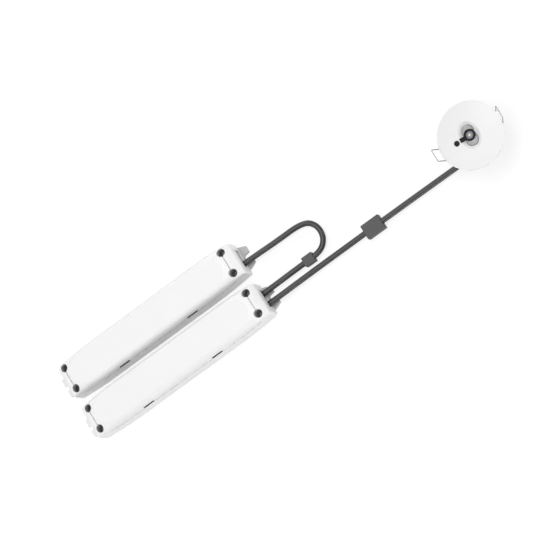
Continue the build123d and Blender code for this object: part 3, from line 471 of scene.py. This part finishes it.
lensSet = {
    "light": (0.56, 0.56, 0.565),
    "dark": (0.36, 0.36, 0.365),
    "edge": (0.16, 0.16, 0.165),
    "eye": (0.3, 0.285, 0.34),
    "dot": (0.8, 0.85, 0.42),
    "lobe": 0.0059,
    "pitch": 0.0016,
    "rimStarts": 0.0070,
    "rimFull": 0.0077,
    "eyeFull": 0.0046,
    "eyeEnds": 0.005,
    "dotFull": 0.0011,
    "dotEnds": 0.0017,
    "index": 1.49,
    "clear": 0.15,
    "rough": 0.14,
    "roughByWave": 0.1,
    "strength": 0.5,
    "depth": 0.00012,
}


def ringedLens(name, look):
    # Frosted clear moulding: fine rings round each lobe, and the yellow emitter magnified in the middle
    headX, headY = headMiddle()
    material, wire, shader = newMaterial(name)
    x, y = axes(wire, objectPlace(wire))[:2]
    fromX, fromY = x - headX, y - headY
    lobe = radius(fromX, magnitude(fromY) - look["lobe"])
    wave = 0.5 + 0.5 * lobe.maths("SINE", lobe * (2 * math.pi / look["pitch"]))
    middle = radius(fromX, fromY)
    colour = blend(wire, wave, look["dark"], look["light"])
    colour = blend(wire, ramp(wire, lobe, look["rimStarts"], look["rimFull"]), colour, look["edge"])
    colour = blend(wire, 1 - ramp(wire, middle, look["eyeFull"], look["eyeEnds"]), colour, look["eye"])
    colour = blend(wire, 1 - ramp(wire, middle, look["dotFull"], look["dotEnds"]), colour, look["dot"])
    shader.inputs["IOR"].default_value = look["index"]
    shader.inputs["Transmission Weight"].default_value = look["clear"]
    feed(wire, shader, {
        "Base Color": colour,
        "Roughness": look["rough"] + look["roughByWave"] * wave,
        "Normal": relief(wire, wave, look["strength"], look["depth"]),
    })
    return material


glassSet = {
    "colour": (0.9, 0.92, 0.91), "faded": (0.85, 0.88, 0.87), "cloud": 90.0,
    "clear": 0.85, "index": 1.5, "rough": 0.04, "roughByCloud": 0.06,
}


def clearGlass(name, look):
    material, wire, shader = newMaterial(name)
    cloud = noise(wire, objectPlace(wire), look["cloud"])
    shader.inputs["Transmission Weight"].default_value = look["clear"]
    shader.inputs["IOR"].default_value = look["index"]
    feed(wire, shader, {
        "Base Color": blend(wire, cloud, look["colour"], look["faded"]),
        "Roughness": look["rough"] + look["roughByCloud"] * cloud,
    })
    return material


copperSet = {
    "dark": (0.3, 0.1, 0.04), "light": (0.62, 0.26, 0.11), "pitch": 0.0006, "metal": 0.9,
    "rough": 0.35, "roughByTurn": 0.1, "strength": 0.8, "depth": 0.00015,
}


def woundCopper(name, look):
    # Enamelled wire laid turn by turn round an upright core
    material, wire, shader = newMaterial(name)
    z = axes(wire, objectPlace(wire))[2]
    turns = 0.5 + 0.5 * z.maths("SINE", z * (2 * math.pi / look["pitch"]))
    shader.inputs["Metallic"].default_value = look["metal"]
    feed(wire, shader, {
        "Base Color": blend(wire, turns, look["dark"], look["light"]),
        "Roughness": look["rough"] - look["roughByTurn"] * turns,
        "Normal": relief(wire, turns, look["strength"], look["depth"]),
    })
    return material


finishes = {
    "white_cap": mouldedPlastic("capMoulding", mouldedSet),
    "white_paint": dishedTrim("trimFinish", trimSet, dishShadeSet),
    "cable_sheath": mouldedPlastic("cableSheath", sheathSet),
    "connector_plastic": mouldedPlastic("connectorMoulding", connectorSet),
    "black_plastic": mouldedPlastic("blackMoulding", blackSet),
    "inner_plastic": mouldedPlastic("innerMoulding", innerSet),
    "circuit_board": mouldedPlastic("solderMask", boardSet),
    "white_board": mouldedPlastic("whiteBoard", whiteBoardSet),
    "capacitor_sleeve": mouldedPlastic("canSleeve", sleeveSet),
    "cell_sleeve": mouldedPlastic("cellSleeve", cellSet),
    "wire_insulation": mouldedPlastic("coreInsulation", coreSet),
    "ferrite": mouldedPlastic("pressedFerrite", ferriteSet),
    "grey_pad": mouldedPlastic("thermalPad", padSet),
    "foam": mouldedPlastic("sealFoam", foamSet),
    "rubber_gland": mouldedPlastic("glandRubber", glandSet),
    "led_phosphor": mouldedPlastic("ledPhosphor", phosphorSet),
    "zinc_steel": bareMetal("zincSteel", (0.5, 0.5, 0.48), 0.35, (1, 1, 1)),
    "spring_steel": bareMetal("springSteel", (0.3, 0.3, 0.3), 0.28, (1, 1, 1)),
    "nickel": bareMetal("nickelTag", (0.6, 0.58, 0.53), 0.25, (1, 1, 1)),
    "contact_brass": bareMetal("contactBrass", (0.7, 0.48, 0.2), 0.25, (0.2, 1, 1)),
    "bare_aluminium": bareMetal("castAluminium", (0.62, 0.62, 0.63), 0.48, (1, 1, 0.2)),
    "copper_winding": woundCopper("copperWinding", copperSet),
    "clear_lens": ringedLens("ringedLens", lensSet),
    "fuse_glass": clearGlass("fuseGlass", glassSet),
}
nodeFinishes = {
    "gear_base": boxMoulding("gearBaseMoulding", mouldedSet, "gear_cover", True),
    "gear_cover": boxMoulding("gearCoverMoulding", mouldedSet, "gear_cover", False),
    "battery_base": boxMoulding("batteryBaseMoulding", mouldedSet, "battery_cover", True),
    "battery_cover": boxMoulding("batteryCoverMoulding", mouldedSet, "battery_cover", False),
    # The cover screws are a dark grey metal
    "gear_cover_screws": bareMetal("darkScrewMetal", (0.25, 0.25, 0.25), 0.45, (1, 1, 1)),
}
nodeFinishes["battery_cover_screws"] = nodeFinishes["gear_cover_screws"]

for part in frame["record"]["subparts"]:
    node = nodes[part["node"]]
    finish = nodeFinishes.get(part["node"]) or finishes[part["material_slot"]]
    node.data.materials.clear()
    node.data.materials.append(finish)
for cord in (linkGearCord, linkBatteryCord, headBatteryCord, headHeadCord):
    cord.data.materials.append(finishes["cable_sheath"])
print("finishes given")


# Stage: a pale floor that shows white and keeps a faint shadow, and soft lamps

stageSet = {"reach": 12.0, "level": -0.0002, "seen": 0.3, "bounce": 0.8, "glow": 0.74, "world": 0.26}


def addFloor(look):
    bpy.ops.mesh.primitive_plane_add(size=look["reach"], location=(0, 0, look["level"]))
    floor = bpy.context.object
    floor.name = "floor"
    material = bpy.data.materials.new("floorPaper")
    material.use_nodes = True
    tree = material.node_tree
    tree.nodes.remove(tree.nodes["Principled BSDF"])
    wire = Wire(tree)
    shown = seenByEye(wire)
    paper = wire.node("ShaderNodeBsdfDiffuse", {}, {
        "Color": blend(wire, shown, (look["bounce"],) * 3, (look["seen"],) * 3),
    })
    glow = wire.node("ShaderNodeEmission", {}, {"Color": (1, 1, 1, 1), "Strength": shown * look["glow"]})
    both = wire.node("ShaderNodeAddShader", {}, {0: paper, 1: glow})
    tree.links.new(both.socket, tree.nodes["Material Output"].inputs["Surface"])
    floor.data.materials.append(material)


def addWorld(look):
    # White where it is seen, and a low even light elsewhere
    world = bpy.data.worlds.new("studioWorld")
    bpy.context.scene.world = world
    world.use_nodes = True
    tree = world.node_tree
    strength = look["world"] + seenByEye(Wire(tree)) * (1 - look["world"])
    background = tree.nodes["Background"]
    background.inputs["Color"].default_value = (1, 1, 1, 1)
    tree.links.new(strength.socket, background.inputs["Strength"])


lampSet = {
    "topLamp": {"place": (0.0, 0.0, 2.6), "aim": (0.0, 0.0, 0.0), "size": 2.4, "power": 42},
    "backLamp": {"place": (0.0, 2.4, 0.85), "aim": (0.0, 0.0, 0.0), "size": 1.4, "power": 15},
    "leftLamp": {"place": (-2.4, 0.0, 0.85), "aim": (0.0, 0.0, 0.0), "size": 1.4, "power": 13},
    "rightLamp": {"place": (2.0, 0.0, 0.25), "aim": (0.0, 0.0, 0.0), "size": 0.5, "power": 12},
    "frontLamp": {"place": (0.0, -2.0, 0.25), "aim": (0.0, 0.0, 0.0), "size": 0.5, "power": 11},
    "streakLamp": {"place": (0.5, 1.0, 2.6), "aim": (0.1, 0.0, 0.0), "size": 0.35, "power": 5},
}


def addLamp(name, look):
    bpy.ops.object.light_add(type="AREA", location=look["place"])
    lamp = bpy.context.object
    lamp.name = name
    lamp.data.size = look["size"]
    lamp.data.energy = look["power"]
    ray = Vector(look["aim"]) - Vector(look["place"])
    lamp.rotation_euler = ray.to_track_quat("-Z", "Y").to_euler()


addFloor(stageSet)
addWorld(stageSet)
for name, look in lampSet.items():
    addLamp(name, look)
bpy.context.scene.view_settings.view_transform = "Standard"
print("stage lit")
